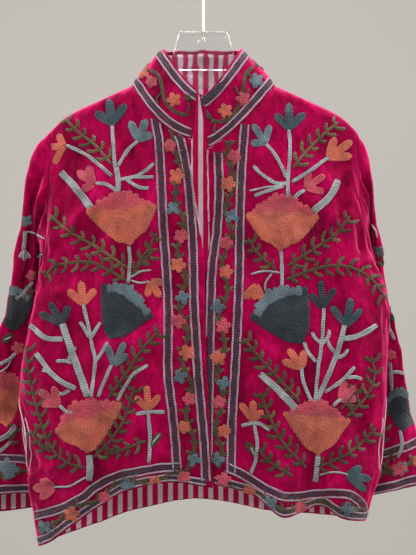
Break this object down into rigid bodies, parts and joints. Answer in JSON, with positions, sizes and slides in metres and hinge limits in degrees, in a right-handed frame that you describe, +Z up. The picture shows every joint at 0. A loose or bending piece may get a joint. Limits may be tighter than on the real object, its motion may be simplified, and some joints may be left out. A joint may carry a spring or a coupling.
{
  "type": "embroidered velvet jacket on a clear hanger",
  "caption": "Hip-length velvet suzani jacket with a stand collar, open front and long loose sleeves, hung on a clear plastic hanger with a wire hook.",
  "frame": {"origin": "underside of the hook's crown, where a rail carries the hanger", "axes": "+Z up along the hook's stem, -Y out of the jacket's front, +X towards the wearer's left"},
  "size_m": [0.6861, 0.1607, 0.8279],
  "materials": {
    "velvet": "matt pile",
    "lining": "plain weave with red and white stripes",
    "clear_plastic": "gloss",
    "hook_wire": "pale gold plating"
  },
  "bodies": {
    "root": {"back": "velvet", "front_right": "velvet", "front_left": "velvet", "sleeve_right": "velvet", "sleeve_left": "velvet", "collar": "velvet", "back_lining": "lining", "front_lining_right": "lining", "front_lining_left": "lining", "sleeve_lining_right": "lining", "sleeve_lining_left": "lining", "collar_lining": "lining", "pocket_bag_right": "lining", "pocket_bag_left": "lining", "hanger": "clear_plastic", "hook": "hook_wire"}
  },
  "joints": []
}
